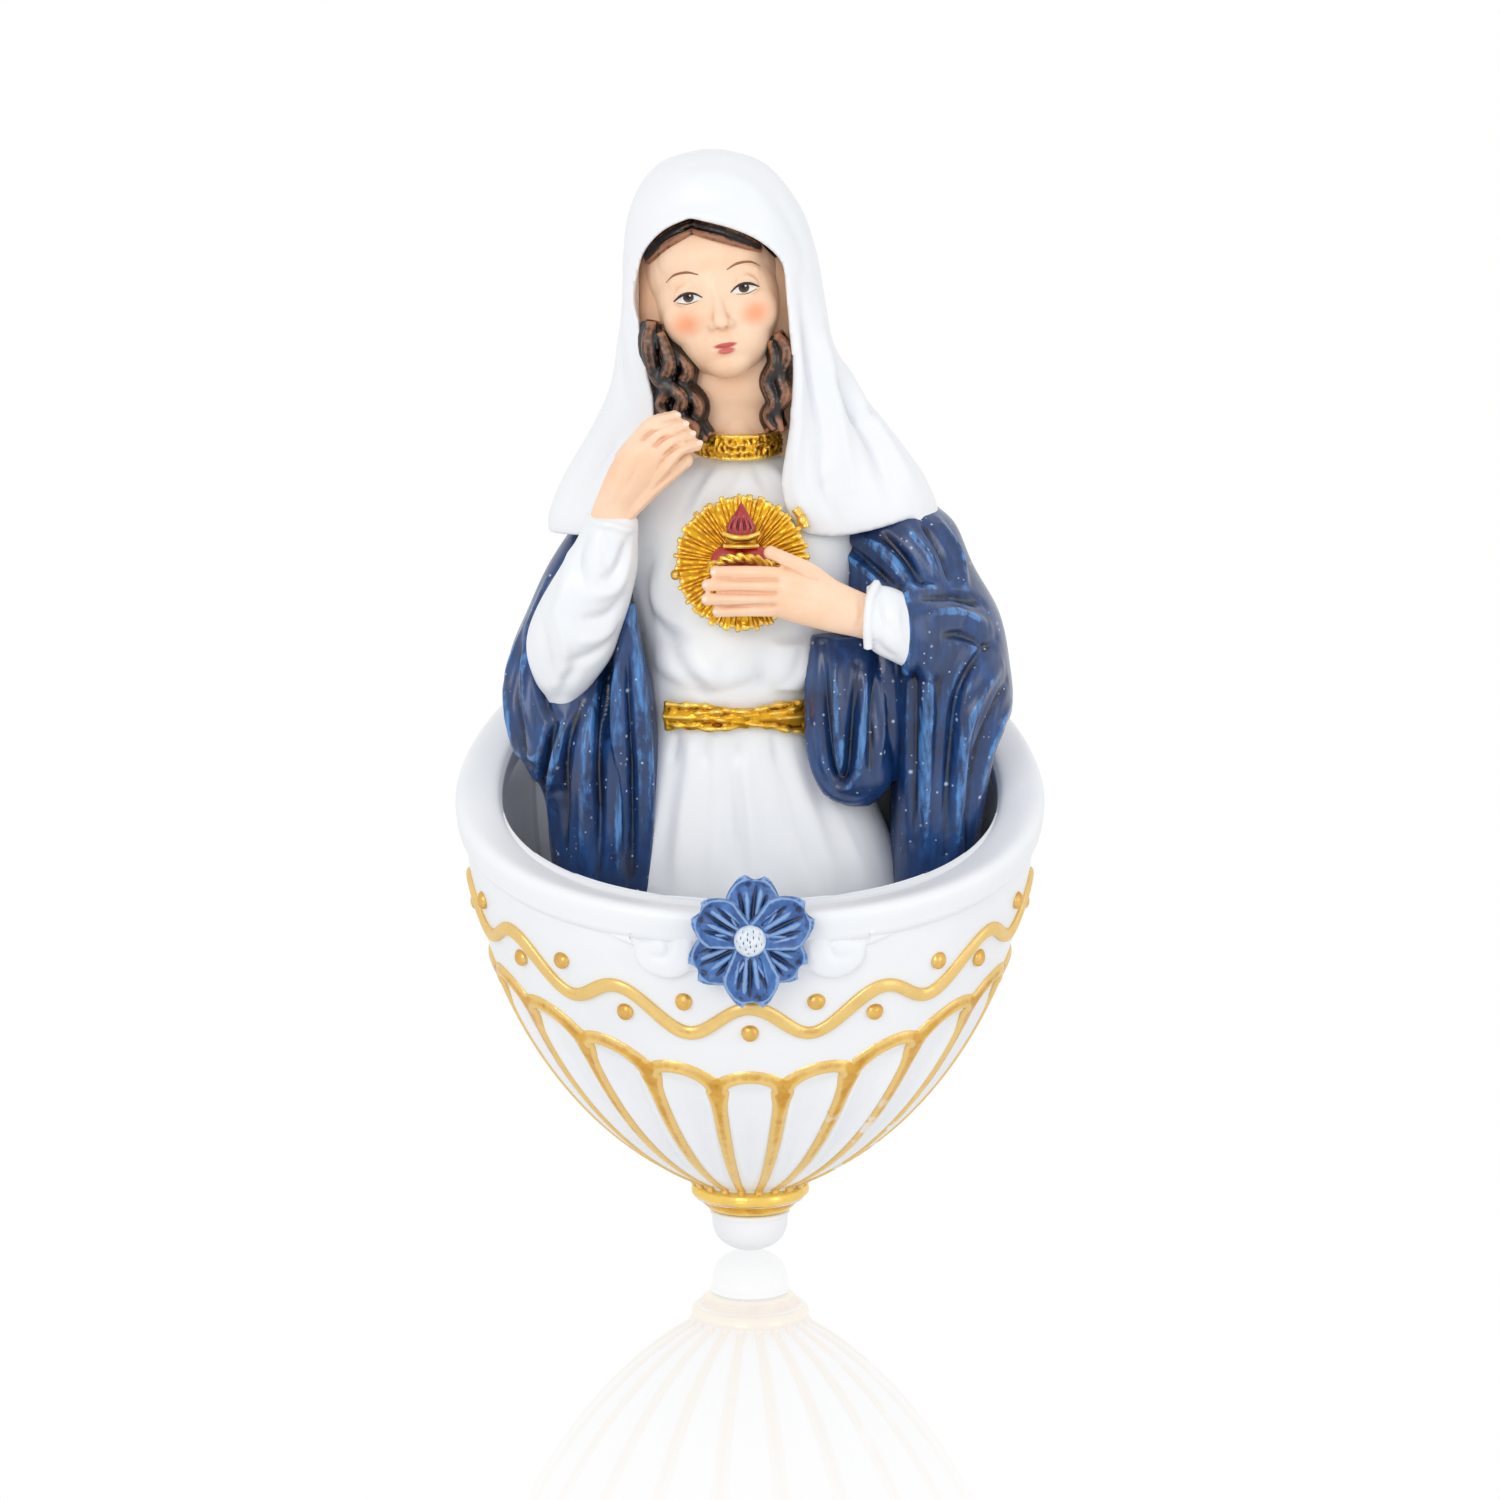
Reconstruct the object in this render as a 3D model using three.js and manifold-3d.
// A wall-hung holy water font: an egg-shaped bowl with a gilt relief,
// and the veiled half figure that rises from it.
// Millimetres, +Z up. The wall is the plane Y = 0 and the front faces -Y.
// The origin is on the flat back, behind the girdle.
import * as THREE from "three";
import { mergeVertices } from "three/addons/utils/BufferGeometryUtils.js";
import Module from "manifold-3d";

const wasm = await Module();
wasm.setup();

// ---- driving dimensions -------------------------------------------------------------------------

const GAP = 0.3; // the cement line between neighbouring pieces
const TOP = 82; // crown of the veil
const FOOT = -88; // tip of the knob under the bowl

const BOARD = 3.2; // thickness of the flat back
const BOWL = {
  wide: 43.4, // half width at the rim
  reach: 47.4, // how far the rim stands out from the wall
  shoulder: -13, // where the wall starts to turn in
  tall: 66, // from the shoulder to the point of the egg
  fullness: 0.62, // exponent of the egg's outline
  centre: 0.35, // where the widest line lies, as a share of the reach
  base: 8.3, // half width at the gilt foot ring
  bottom: -79.5,
  wall: 5.8,
};
const RIM = { front: -26.4, slope: 0.334, lift: 0.00517, height: 5.2, proud: 1.2 };
const WAVE = { front: -44.2, lift: 17.5, turn: 0.8, swing: 2.4, period: 29.2, width: 1.9 };
const FLUTES = { front: -56.6, lift: 15, turn: 0.95, pitch: 18, arch: 3.4, width: 2.4, ends: 6 };
const RIB = { foot: -76.9, width: 3.2, taper: 2.1, sunk: 0.1 }; // the gilt ribs between the flutes
const RELIEF = { from: 0.6, to: 1.3 }; // how far the gilt relief stands off the bowl
const BEAD = { radius: 1.35, thick: 0.45, above: 2.6, below: 1.6, ends: 7 };
const FLOWER = { x: 0, z: -30.6, petals: 6, ring: 5.5, long: 3.5, wide: 2.5, thick: 1.1, eye: 2.3 };
const SCROLL = { angle: 17.6, drop: 5.8, radius: 4.4, thick: 1.6 };

const HANGER = { x: -4, z: 48, wide: 15, tall: 11, deep: 1.9, wire: 0.6, foot: 2 };

const HEAD = { x: -4.9, y: -20.5, z: 61.5, wide: 10.2, deep: 11.6, tall: 14.2, tilt: 10 };
const SUNBURST = { x: -1.2, y: -29.6, z: 22.1, radius: 10.2, thick: 1.8, lean: 8 };

// ---- materials ----------------------------------------------------------------------------------

function paint(colour, roughness, metalness = 0) {
  return new THREE.MeshStandardMaterial({ color: colour, roughness, metalness });
}

const WHITE = paint(0xf0f0ee, 0.45);
const BLUE = paint(0x1f3f78, 0.35);
const FLESH = paint(0xf0c6a4, 0.5);
const HAIR = paint(0x2e1f1a, 0.5);
const GOLD = paint(0xb98620, 0.35, 0.8);
const RED = paint(0x9c2026, 0.35);
const PETAL = paint(0x33609c, 0.4);
const STEEL = paint(0xb4b6b8, 0.35, 1);

// ---- solids from three.js geometry --------------------------------------------------------------

function solid(geometry) {
  const bare = geometry.clone();
  bare.deleteAttribute("normal");
  bare.deleteAttribute("uv");
  const merged = mergeVertices(bare, 1e-4);
  const mesh = new wasm.Mesh({
    numProp: 3,
    vertProperties: merged.attributes.position.array,
    triVerts: new Uint32Array(merged.index.array),
  });
  return new wasm.Manifold(mesh);
}

function geometryOf(manifold) {
  const mesh = manifold.getMesh();
  const geometry = new THREE.BufferGeometry();
  geometry.setAttribute("position", new THREE.BufferAttribute(mesh.vertProperties, 3));
  geometry.setIndex(new THREE.BufferAttribute(mesh.triVerts, 1));
  return geometry;
}

function largest(manifold) {
  return manifold.decompose().sort((a, b) => b.volume() - a.volume())[0];
}

function box(x, y, z) {
  const geometry = new THREE.BoxGeometry(x[1] - x[0], y[1] - y[0], z[1] - z[0]);
  geometry.translate((x[0] + x[1]) / 2, (y[0] + y[1]) / 2, (z[0] + z[1]) / 2);
  return solid(geometry);
}

// A ball of the given half sizes, tilted in the plane of the wall.
function ball({ x, y, z }, [wide, deep, tall], tilt = 0, around = 18, up = 12) {
  const geometry = new THREE.SphereGeometry(1, around, up);
  geometry.rotateX(Math.PI / 2);
  geometry.scale(wide, deep, tall);
  geometry.rotateY(THREE.MathUtils.degToRad(-tilt));
  geometry.translate(x, y, z);
  return solid(geometry);
}

// A closed body lofted through elliptical stations [x, y, z, half width, half thickness] along a smooth path.
function limb(stations, grow = 0, { around = 14, steps = 7, side = [1, 0, 0] } = {}) {
  const path = new THREE.CatmullRomCurve3(stations.map(([x, y, z]) => new THREE.Vector3(x, y, z)));
  const sizes = new THREE.CatmullRomCurve3(stations.map(([, , , a, b]) => new THREE.Vector3(a, b, 0)));
  const geometry = new THREE.CylinderGeometry(1, 1, 1, around, steps);
  const position = geometry.attributes.position;
  for (let i = 0; i < position.count; i++) {
    const along = 0.5 - position.getY(i);
    const middle = path.getPoint(along);
    const size = sizes.getPoint(along);
    const forward = path.getTangent(along);
    middle.addScaledVector(forward, grow * (2 * along - 1));
    const across = new THREE.Vector3(...side).projectOnPlane(forward).normalize();
    const over = new THREE.Vector3().crossVectors(across, forward);
    const point = middle
      .addScaledVector(across, position.getX(i) * (size.x + grow))
      .addScaledVector(over, position.getZ(i) * (size.y + grow));
    position.setXYZ(i, point.x, point.y, point.z);
  }
  const made = solid(geometry);
  return made.volume() < 0 ? solid(turned(geometry)) : made;
}

// The same geometry with its faces turned round.
function turned(geometry) {
  const index = geometry.index.array;
  for (let i = 0; i < index.length; i += 3) [index[i + 1], index[i + 2]] = [index[i + 2], index[i + 1]];
  return geometry;
}

// A prism along Y whose outline is given in the wall's plane, as [x, z] points on a smooth or straight line.
function prism(outline, [yFront, yBack], smooth = true) {
  const points = outline.map(([x, z]) => new THREE.Vector2(x, z));
  const shape = new THREE.Shape();
  shape.moveTo(points[0].x, points[0].y);
  if (smooth) shape.splineThru([...points.slice(1), points[0]]);
  else points.slice(1).forEach((p) => shape.lineTo(p.x, p.y));
  const geometry = new THREE.ExtrudeGeometry(shape, {
    depth: yBack - yFront,
    bevelEnabled: false,
    curveSegments: 3,
  });
  geometry.rotateX(Math.PI / 2);
  geometry.translate(0, yBack, 0);
  return solid(geometry);
}

// ---- the egg-shaped bowl ------------------------------------------------------------------------

function halfWidth(z) {
  const down = Math.min(1, Math.max(0, (BOWL.shoulder - z) / BOWL.tall));
  return Math.max(BOWL.base, BOWL.wide * (1 - down ** 2) ** BOWL.fullness);
}

// A point on the bowl's outside, at a plan angle from the front and a height, lifted off the surface.
function onBowl(degrees, z, lift = 0) {
  const a = THREE.MathUtils.degToRad(degrees);
  const wide = halfWidth(z);
  const reach = wide + BOWL.reach - BOWL.wide;
  const x = (wide + lift) * Math.sin(a);
  const y = -BOWL.centre * reach - ((1 - BOWL.centre) * reach + lift) * Math.cos(a);
  return new THREE.Vector3(x, y, z);
}

function rimHeight(y) {
  const out = y + BOWL.reach - 2.3;
  return RIM.front + RIM.slope * out + RIM.lift * out ** 2;
}

// The height of a band on the bowl, which climbs from its front towards the wall.
function bandHeight(degrees, { front, lift, turn }) {
  const climb = Math.min(90, Math.abs(turn * degrees));
  return front + lift * Math.sin(THREE.MathUtils.degToRad(climb)) ** 2;
}

// The full egg, from its foot up past the rim, grown or shrunk by lift.
function egg(lift, bottom = BOWL.bottom, around = 32, steps = 11) {
  const geometry = new THREE.CylinderGeometry(1, 1, 1, around, steps);
  const position = geometry.attributes.position;
  const top = 8;
  for (let i = 0; i < position.count; i++) {
    const down = 0.5 - position.getY(i);
    const z = top + (bottom - top) * Math.sin((down * Math.PI) / 2) ** 0.9;
    const rim = onBowl(THREE.MathUtils.radToDeg(Math.atan2(position.getX(i), -position.getZ(i))), z, lift);
    const onAxis = Math.hypot(position.getX(i), position.getZ(i)) < 0.5;
    if (onAxis) position.setXYZ(i, 0, (onBowl(0, z).y + onBowl(180, z).y) / 2, z);
    else position.setXYZ(i, rim.x, rim.y, z);
  }
  const made = solid(geometry);
  return made.volume() < 0 ? solid(turned(geometry)) : made;
}

// Everything above the sloping rim line, moved down by drop.
function aboveRim(drop) {
  const shape = new THREE.Shape();
  shape.moveTo(10, 60);
  shape.lineTo(10, rimHeight(10) - drop);
  for (let y = 4; y >= -58; y -= 6) shape.lineTo(y, rimHeight(y) - drop);
  shape.lineTo(-58, 60);
  const geometry = new THREE.ExtrudeGeometry(shape, { depth: 120, bevelEnabled: false });
  geometry.rotateX(Math.PI / 2);
  geometry.rotateZ(Math.PI / 2);
  geometry.translate(-60, 0, 0);
  const made = solid(geometry);
  return made.volume() < 0 ? solid(turned(geometry)) : made;
}

const wallSide = () => box([-60, 60], [0, 30], [-100, 100]);

function bowlShell(grow = 0) {
  const inner = egg(-BOWL.wall - grow, BOWL.bottom + 12 + grow);
  return egg(grow)
    .subtract(inner)
    .subtract(aboveRim(-grow))
    .subtract(box([-60, 60], [-BOARD - GAP + grow, 30], [-100, 100]));
}

function rimMoulding(grow = 0) {
  return egg(RIM.proud + grow)
    .subtract(egg(GAP - grow))
    .subtract(aboveRim(GAP - grow))
    .intersect(aboveRim(RIM.height + grow))
    .subtract(wallSide());
}

function rimScroll(side, grow = 0) {
  const centre = onBowl(side * SCROLL.angle, RIM.front - SCROLL.drop, RIM.proud + SCROLL.thick / 2);
  const radius = SCROLL.radius + grow;
  const geometry = new THREE.CylinderGeometry(radius, radius, SCROLL.thick + 2 * grow, 20);
  geometry.rotateZ(THREE.MathUtils.degToRad((side * SCROLL.angle) / 1.2));
  geometry.translate(centre.x, centre.y, centre.z);
  return solid(geometry);
}

// A ribbon on the bowl through points [angle, height], standing off between the two relief heights.
function ribbon(line, widths, grow = 0, { from, to } = RELIEF) {
  const geometry = new THREE.BoxGeometry(1, 1, 1, 1, line.length - 1, 1);
  const position = geometry.attributes.position;
  const points = line.map(([angle, z]) => onBowl(angle, z));
  const outward = line.map(([angle, z], i) => onBowl(angle, z, 1).sub(points[i]).normalize());
  for (let i = 0; i < position.count; i++) {
    const k = Math.round((0.5 - position.getY(i)) * (line.length - 1));
    const before = points[Math.max(0, k - 1)];
    const after = points[Math.min(points.length - 1, k + 1)];
    const across = new THREE.Vector3().crossVectors(outward[k], after.clone().sub(before)).normalize();
    const lift = position.getZ(i) > 0 ? to + grow : from - grow;
    const point = points[k]
      .clone()
      .addScaledVector(across, position.getX(i) * (widths[k] + 2 * grow))
      .addScaledVector(outward[k], lift);
    position.setXYZ(i, point.x, point.y, point.z);
  }
  const made = solid(geometry);
  return made.volume() < 0 ? solid(turned(geometry)) : made;
}

function waveHeight(degrees) {
  return bandHeight(degrees, WAVE) + WAVE.swing * Math.cos((degrees / WAVE.period) * 2 * Math.PI);
}

function waveBand(grow = 0) {
  const line = [];
  for (let step = -23; step <= 23; step++) {
    const degrees = (step * WAVE.period) / 6;
    line.push([degrees, waveHeight(degrees)]);
  }
  return ribbon(line, line.map(() => WAVE.width), grow).subtract(wallSide());
}

// Round gilt beads, above each hollow of the wave and below each crest.
function beads() {
  const places = [];
  for (let half = -BEAD.ends; half <= BEAD.ends; half++) {
    const degrees = (half * WAVE.period) / 2;
    const offset = half % 2 === 0 ? -BEAD.below : BEAD.above;
    places.push({ degrees, z: bandHeight(degrees, WAVE) + offset });
  }
  return places;
}

function bead({ degrees, z }, grow = 0) {
  const centre = onBowl(degrees, z, RELIEF.from + BEAD.thick);
  return ball(centre, [BEAD.radius + grow, BEAD.thick + grow, BEAD.radius + grow], 0, 8, 4)
    .translate([-centre.x, -centre.y, -centre.z])
    .rotate([0, 0, degrees])
    .translate([centre.x, centre.y, centre.z]);
}

// The gilt ribs between the flutes, joined at the top by round arches.
function gildedFlutes(grow = 0) {
  const parts = [];
  for (let k = -FLUTES.ends; k <= FLUTES.ends; k++) {
    const arch = [-0.96, -0.75, -0.4, 0, 0.4, 0.75, 0.96].map((turn) => {
      const degrees = (k + turn / 2) * FLUTES.pitch;
      return [degrees, bandHeight(degrees, FLUTES) + FLUTES.arch * Math.sqrt(1 - turn ** 2)];
    });
    parts.push(ribbon(arch, arch.map(() => FLUTES.width), grow));
  }
  const sunk = { from: RELIEF.from + RIB.sunk, to: RELIEF.to - RIB.sunk };
  const shares = [0, 0.12, 0.28, 0.46, 0.64, 0.82, 1];
  for (let k = -FLUTES.ends; k < FLUTES.ends; k++) {
    const degrees = (k + 0.5) * FLUTES.pitch;
    const top = bandHeight(degrees, FLUTES) + FLUTES.width / 2;
    const rib = shares.map((share) => [degrees, top + (RIB.foot - top) * share]);
    parts.push(ribbon(rib, shares.map((share) => RIB.width - RIB.taper * share), grow, sunk));
  }
  return parts.reduce((whole, part) => whole.add(part)).subtract(wallSide());
}

function footRing(grow = 0) {
  const tube = 1.8;
  const middle = onBowl(0, BOWL.bottom).y / 2 + onBowl(180, BOWL.bottom).y / 2;
  const geometry = new THREE.TorusGeometry(6.6, tube + grow, 8, 16);
  geometry.scale(1, 1, 1.1);
  geometry.translate(0, middle, BOWL.bottom - tube - 0.4);
  return solid(geometry).subtract(wallSide());
}

function knob(grow = 0) {
  const middle = onBowl(0, BOWL.bottom).y / 2 + onBowl(180, BOWL.bottom).y / 2;
  const r = 6 + grow;
  const neck = 4.2 + grow;
  const top = BOWL.bottom - GAP + grow;
  const crown = FOOT + 5.4;
  const outline = [[0, FOOT - grow]];
  for (let a = 22.5; a <= 90; a += 22.5) {
    const turn = THREE.MathUtils.degToRad(a);
    outline.push([r * Math.sin(turn), crown - (crown - FOOT + grow) * Math.cos(turn)]);
  }
  outline.push([neck, crown + 1.2], [neck, top], [0, top]);
  const geometry = new THREE.LatheGeometry(outline.map(([x, z]) => new THREE.Vector2(x, z)), 16);
  geometry.rotateX(Math.PI / 2);
  geometry.translate(0, middle, 0);
  return solid(geometry).subtract(wallSide());
}

// ---- the flower on the rim ----------------------------------------------------------------------

const flowerFront = onBowl(0, FLOWER.z, 3.1).y;

function petal(k, grow = 0) {
  const turn = (k / FLOWER.petals) * 360;
  const a = THREE.MathUtils.degToRad(turn);
  const centre = {
    x: FLOWER.x + FLOWER.ring * Math.sin(a),
    y: flowerFront,
    z: FLOWER.z + FLOWER.ring * Math.cos(a),
  };
  return ball(centre, [FLOWER.wide + grow, FLOWER.thick + grow, FLOWER.long + grow], -turn, 10, 6);
}

function flowerEye(grow = 0) {
  const r = FLOWER.eye + grow;
  return ball({ x: FLOWER.x, y: flowerFront - 0.6, z: FLOWER.z }, [r, 1.5 + grow, r], 0, 10, 6);
}

// ---- the flat back and its hanging wire ---------------------------------------------------------

function backBoard(grow = 0) {
  const upper = [
    [-8, 77],
    [-15, 64],
    [-17, 50],
    [-24, 34],
    [-31, 14],
    [-35, 0],
    [-36, -13],
    [0, -16],
    [36, -13],
    [35, 0],
    [33, 14],
    [25, 31],
    [14, 47],
    [9, 62],
    [3, 76],
  ];
  const pocket = box(
    [HANGER.x - HANGER.wide / 2, HANGER.x + HANGER.wide / 2],
    [-HANGER.deep, 5],
    [HANGER.z - HANGER.tall / 2, HANGER.z + HANGER.tall / 2],
  );
  const lower = egg(0)
    .intersect(box([-60, 60], [-BOARD, 0], [-100, -4]))
    .subtract(aboveRim(0));
  const figure = prism(upper, [-BOARD - grow, 0]);
  return figure.add(lower).subtract(pocket);
}

// A wire bent into a hoop in the pocket, its two feet sunk in the board below it.
function hangingWire(grow = 0) {
  const half = HANGER.wide / 2 - 2.4;
  const bend = HANGER.tall / 2 - 2.3;
  const sill = HANGER.z - HANGER.tall / 2;
  const side = (turn) => [
    [turn * half, sill - HANGER.foot],
    [turn * half, sill],
    [turn * half, HANGER.z - 1],
  ];
  const hoop = [...side(-1), [-half / 2, HANGER.z + bend], [half / 2, HANGER.z + bend], ...side(1).reverse()];
  const points = hoop.map(([x, z]) => new THREE.Vector3(HANGER.x + x, -HANGER.deep / 2, z));
  const path = new THREE.CatmullRomCurve3(points);
  const section = new THREE.Shape();
  section.absarc(0, 0, HANGER.wire + grow, 0, Math.PI * 2);
  const geometry = new THREE.ExtrudeGeometry(section, { steps: 16, extrudePath: path, curveSegments: 4 });
  return solid(geometry);
}

// ---- the figure ---------------------------------------------------------------------------------

const limbs = {
  gown: [
    [-2, -14, 36.4, 9, 7.5],
    [-2, -14.5, 33, 16, 10.5],
    [-1, -15, 24, 18.5, 13],
    [-1, -15, 12, 16.5, 12.6],
    [-2, -15, -1, 15, 11.6],
    [0, -15, -14, 19, 11.2],
    [2, -15, -30, 22, 11.6],
    [2, -15, -52, 19, 9],
  ],
  sleeve: [
    [-28.5, -20, -2, 3, 3],
    [-28.5, -22, 2, 6.6, 6],
    [-28.2, -25, 11, 8.2, 7.2],
    [-24.6, -28, 19.5, 7.2, 6.4],
    [-21.4, -30, 25, 5.4, 4.9],
  ],
  rightHand: [
    [-21, -30.6, 25.6, 3.4, 2.6],
    [-19.2, -31.8, 29, 3.6, 2.7],
    [-16, -34.6, 35, 4.4, 2.6],
    [-13, -36, 39.4, 4.4, 2.4],
    [-9.4, -34.4, 42, 3.8, 2],
    [-8, -32.6, 42.4, 3, 1.4],
  ],
  cuff: [
    [16.6, -33.4, 14.6, 4.2, 3.8],
    [19, -32.8, 13.4, 4.8, 4.4],
    [22, -31, 12, 5.6, 5],
  ],
  leftHand: [
    [17, -33.6, 14.8, 3.6, 3.2],
    [12, -35.2, 16.4, 4.3, 2.8],
    [6, -36.6, 18, 4.6, 2.5],
    [0, -36.4, 18.6, 4.2, 1.9],
    [-5.4, -35.2, 18.6, 3.6, 1.4],
  ],
  thumb: [
    [9, -36.2, 20.4, 1.6, 1.5],
    [5, -36.8, 22.4, 1.3, 1.3],
    [2.4, -36, 24, 0.9, 0.9],
  ],
  cloakRight: [
    [-25.5, -8, 25.6, 3, 4],
    [-28, -10.5, 16, 7.6, 6.8],
    [-27, -13.5, 5, 11.4, 9.6],
    [-24, -15, -6, 11.6, 10.6],
    [-22.4, -15, -18, 9, 10],
    [-21.6, -14.6, -30, 8, 9],
    [-20.4, -14, -42, 7, 7],
  ],
  cloakPeak: [
    [-18.3, -25.4, 14.4, 1.2, 1.4],
    [-18.2, -23, 8, 2.4, 3.6],
    [-18, -20, -2, 4.2, 5],
    [-18.4, -18, -14, 4.6, 5],
  ],
  cloakLeft: [
    [20, -12.5, 27.6, 8.4, 8.6],
    [24, -15, 20, 13, 11.4],
    [28.4, -17.4, 9, 11.4, 13.2],
    [29.8, -17, -4, 9, 12.4],
    [28.6, -16, -18, 7, 10],
    [27.4, -15, -32, 6.4, 8.4],
    [26, -14, -42, 6, 7],
  ],
  swag: [
    [13, -25, 10.6, 3.6, 3.6],
    [13.4, -25.6, 4, 4.8, 4.6],
    [14.2, -25.4, -5, 5.8, 5.2],
    [15.4, -24.6, -11, 6.2, 5],
    [16, -24, -14.4, 4, 3.4],
  ],
  veil: [
    [-5.5, -19, TOP - 0.6, 3, 3],
    [-5.3, -19.5, 79, 9.4, 10],
    [-4.6, -18.5, 71, 14, 14],
    [-4, -17, 60, 15.2, 15.6],
    [-3, -15.5, 48, 17.2, 14.6],
    [-2, -14.5, 38, 24, 13.4],
    [-1, -14, 28, 29.4, 14],
    [-1, -14, 25.4, 29.4, 13.6],
  ],
  locksRight: [
    [-14.2, -27, 55.6, 1.6, 1.4],
    [-12.6, -27.6, 50, 2.4, 1.8],
    [-10.4, -27, 44.6, 2.4, 1.9],
    [-8, -26.2, 40.4, 1.4, 1.3],
  ],
  locksLeft: [
    [4.9, -27, 53.4, 1.2, 1.2],
    [6.2, -26.8, 49, 1.6, 1.6],
    [4.6, -26.2, 44.4, 1.8, 1.7],
    [3.6, -25.6, 41.6, 1, 1.2],
  ],
};

function headAndNeck(grow = 0) {
  const { x, y, z, wide, deep, tall, tilt } = HEAD;
  const skull = ball({ x, y, z }, [wide + grow, deep + grow, tall + grow], tilt, 16, 10);
  const neck = limb(
    [
      [-3.4, -18.5, 56, 5.2, 5.4],
      [-2.2, -18, 45, 5.1, 5.2],
      [-1.9, -17.6, 37.4, 5.6, 5.4],
    ],
    grow,
    { steps: 4 },
  );
  return skull.add(neck);
}

function neckCollar(grow = 0) {
  const ring = (r, z0, z1) => {
    const geometry = new THREE.CylinderGeometry(r, r + 0.5, z1 - z0, 24);
    geometry.rotateX(Math.PI / 2);
    geometry.translate(-1.9, -18.2, (z0 + z1) / 2);
    return solid(geometry);
  };
  return ring(6.9 + grow, 37 - grow, 41.4 + grow)
    .subtract(ring(6 - grow, 30, 50))
    .subtract(box([-20, 20], [-14, 10], [20, 60]));
}

function girdle(grow = 0) {
  const waist = limbs.gown.map(([x, y, z, a, b]) => [x, y, z, a + 1.7, b + 1.7]);
  const inside = limbs.gown.map(([x, y, z, a, b]) => [x, y, z, a + GAP, b + GAP]);
  return limb(waist, grow)
    .intersect(box([-12.9 - grow, 8.6 + grow], [-60, -16], [-3.5 - grow, 1.3 + grow]))
    .subtract(limb(inside, -grow));
}

// A flat disc that leans back with the chest.
function disc(radius, thick, y, around, grow) {
  const geometry = new THREE.CylinderGeometry(radius + grow, radius + grow, thick + 2 * grow, around);
  geometry.translate(0, -(y - SUNBURST.y), 0);
  geometry.rotateX(THREE.MathUtils.degToRad(-SUNBURST.lean));
  geometry.translate(SUNBURST.x, SUNBURST.y, SUNBURST.z);
  return geometry;
}

function sunburst(grow = 0) {
  return solid(disc(SUNBURST.radius, SUNBURST.thick, SUNBURST.y, 36, grow));
}

const heartFront = SUNBURST.y - SUNBURST.thick / 2 - GAP;

function heart(grow = 0) {
  return ball({ x: -1.3, y: heartFront - 1.5, z: 20.2 }, [4.6 + grow, 1.3 + grow, 3.6 + grow], 0, 12, 8);
}

function garland(grow = 0) {
  return limb(
    [
      [-5.6, heartFront - 2.6, 22.6, 0.7, 0.6],
      [-1.3, heartFront - 3.6, 22.4, 0.8, 0.7],
      [3, heartFront - 2.6, 22.8, 0.7, 0.6],
    ],
    grow,
    { side: [0, 0, 1], around: 8, steps: 6 },
  );
}

function flame(grow = 0) {
  return limb(
    [
      [-1.4, heartFront - 2.1, 31, 0.3, 0.3],
      [-1.4, heartFront - 2.1, 29, 1.5, 0.9],
      [-1.4, heartFront - 2, 26.6, 2.3, 1.2],
    ],
    grow,
    { around: 12, steps: 5 },
  );
}

function flameCup(grow = 0) {
  return limb(
    [
      [-1.4, heartFront - 2, 26.1, 2.4, 1.4],
      [-1.4, heartFront - 2, 25.4, 2.1, 1.3],
      [-1.4, heartFront - 2, 24.6, 2.6, 1.3],
    ],
    grow,
    { around: 12, steps: 4 },
  );
}

function hairBand(grow = 0) {
  const { x, y, z, wide, deep, tall, tilt } = HEAD;
  const shell = (extra) => [wide + extra, deep + extra, tall + extra];
  const outside = ball({ x, y, z }, shell(1.3 + grow), tilt, 16, 10);
  const inside = ball({ x, y, z }, shell(GAP - grow), tilt, 16, 10);
  const slab = prism(
    [
      [-17.5 - grow, 67.6],
      [-8.6, 73.4 + grow],
      [3 + grow, 69.4],
      [2, 66.4 - grow],
      [-8.4, 70.2 - grow],
      [-16.6, 64.6 - grow],
    ],
    [-40, HEAD.y - 2],
    false,
  );
  return outside.subtract(inside).intersect(slab);
}

const faceWindow = () =>
  prism(
    [
      [-8.7, 73.6],
      [1, 69.8],
      [5.6, 65.6],
      [6.4, 54],
      [6.6, 44],
      [5.8, 36],
      [4, 31],
      [6.8, 26],
      [10, 22.6],
      [-6, 20],
      [-23, 20],
      [-22, 24],
      [-16, 34],
      [-14, 44],
      [-15.4, 54],
      [-16.6, 66],
    ],
    [-60, HEAD.y + 1],
    false,
  );

function veil(grow = 0) {
  return limb(limbs.veil, grow, { around: 22, steps: 10 }).subtract(faceWindow());
}

// The draped pieces end at the flat back.
function backed(piece, grow) {
  return piece.subtract(box([-60, 60], [-BOARD - GAP + grow, 30], [-100, 100]));
}

function cloakRight(grow = 0) {
  return backed(limb(limbs.cloakRight, grow).add(limb(limbs.cloakPeak, grow)), grow);
}

const drape = (name, options) => (grow) => backed(limb(limbs[name], grow, options), grow);

function leftHand(grow = 0) {
  const along = { side: [0, 0, 1], around: 12 };
  return limb(limbs.leftHand, grow, along).add(limb(limbs.thumb, grow, { ...along, around: 8, steps: 4 }));
}

// ---- assembly: each piece is cut back from the ones listed before it ----------------------------

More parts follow.
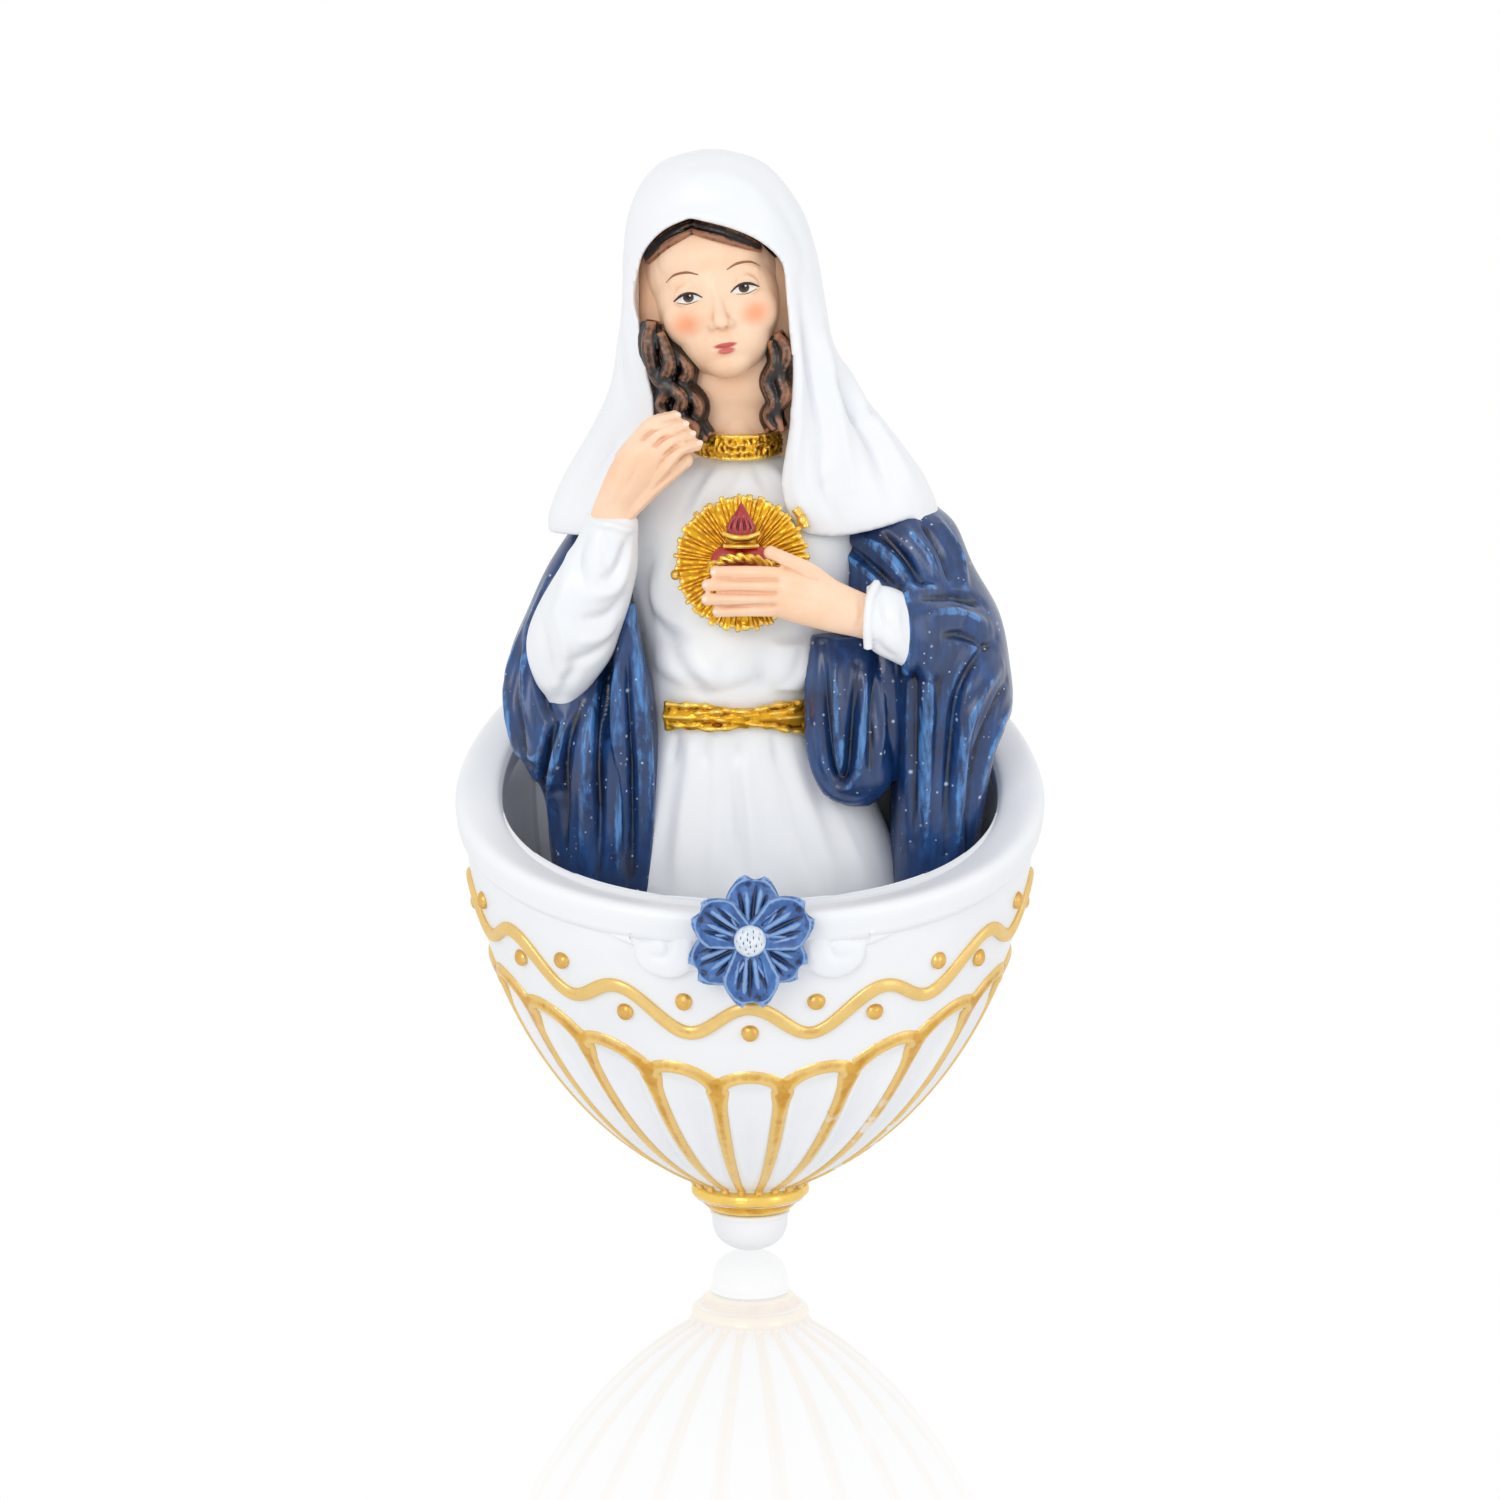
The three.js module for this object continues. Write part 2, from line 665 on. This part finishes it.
const pieces = [
  ["hanging_wire", hangingWire, STEEL],
  ["back_board", backBoard, WHITE],
  ["font_bowl", bowlShell, WHITE],
  ["rim_scroll_right", (grow) => rimScroll(-1, grow), WHITE],
  ["rim_scroll_left", (grow) => rimScroll(1, grow), WHITE],
  ...[0, 1, 2, 3, 4, 5].map((k) => [`flower_petal_${k + 1}`, (grow) => petal(k, grow), PETAL]),
  ["flower_eye", flowerEye, WHITE],
  ["rim_moulding", rimMoulding, WHITE],
  ["wave_band", waveBand, GOLD],
  ...beads().map((place, i) => [`gilt_bead_${i + 1}`, (grow) => bead(place, grow), GOLD]),
  ["gilded_flutes", gildedFlutes, GOLD],
  ["foot_ring", footRing, GOLD],
  ["knob", knob, WHITE],
  ["left_hand", leftHand, FLESH],
  ["left_cuff", (grow) => limb(limbs.cuff, grow, { side: [0, 0, 1], steps: 4 }), WHITE],
  ["garland", garland, GOLD],
  ["flame", flame, RED],
  ["flame_cup", flameCup, GOLD],
  ["heart", heart, RED],
  ["sunburst", sunburst, GOLD],
  ["right_hand", (grow) => limb(limbs.rightHand, grow), FLESH],
  ["right_sleeve", (grow) => backed(limb(limbs.sleeve, grow), grow), WHITE],
  ["locks_right", (grow) => limb(limbs.locksRight, grow, { around: 10 }), HAIR],
  ["locks_left", (grow) => limb(limbs.locksLeft, grow, { around: 10 }), HAIR],
  ["neck_collar", neckCollar, GOLD],
  ["head_and_neck", headAndNeck, FLESH],
  ["hair_band", hairBand, HAIR],
  ["girdle", girdle, GOLD],
  ["cloak_swag", drape("swag"), BLUE],
  ["gown", drape("gown", { around: 18, steps: 8 }), WHITE],
  ["veil", (grow) => backed(veil(grow), grow), WHITE],
  ["cloak_right", cloakRight, BLUE],
  ["cloak_left", drape("cloakLeft"), BLUE],
];

function meet(a, b) {
  const [p, q] = [a.boundingBox(), b.boundingBox()];
  return [0, 1, 2].every((k) => p.min[k] < q.max[k] && q.min[k] < p.max[k]);
}

const font = new THREE.Group();
const grown = [];
for (const [name, make, material] of pieces) {
  let body = make(0);
  for (const other of grown) if (meet(body, other)) body = body.subtract(other);
  const mesh = new THREE.Mesh(geometryOf(largest(body)), material);
  mesh.name = name;
  font.add(mesh);
  grown.push(make(GAP));
}

export default font;
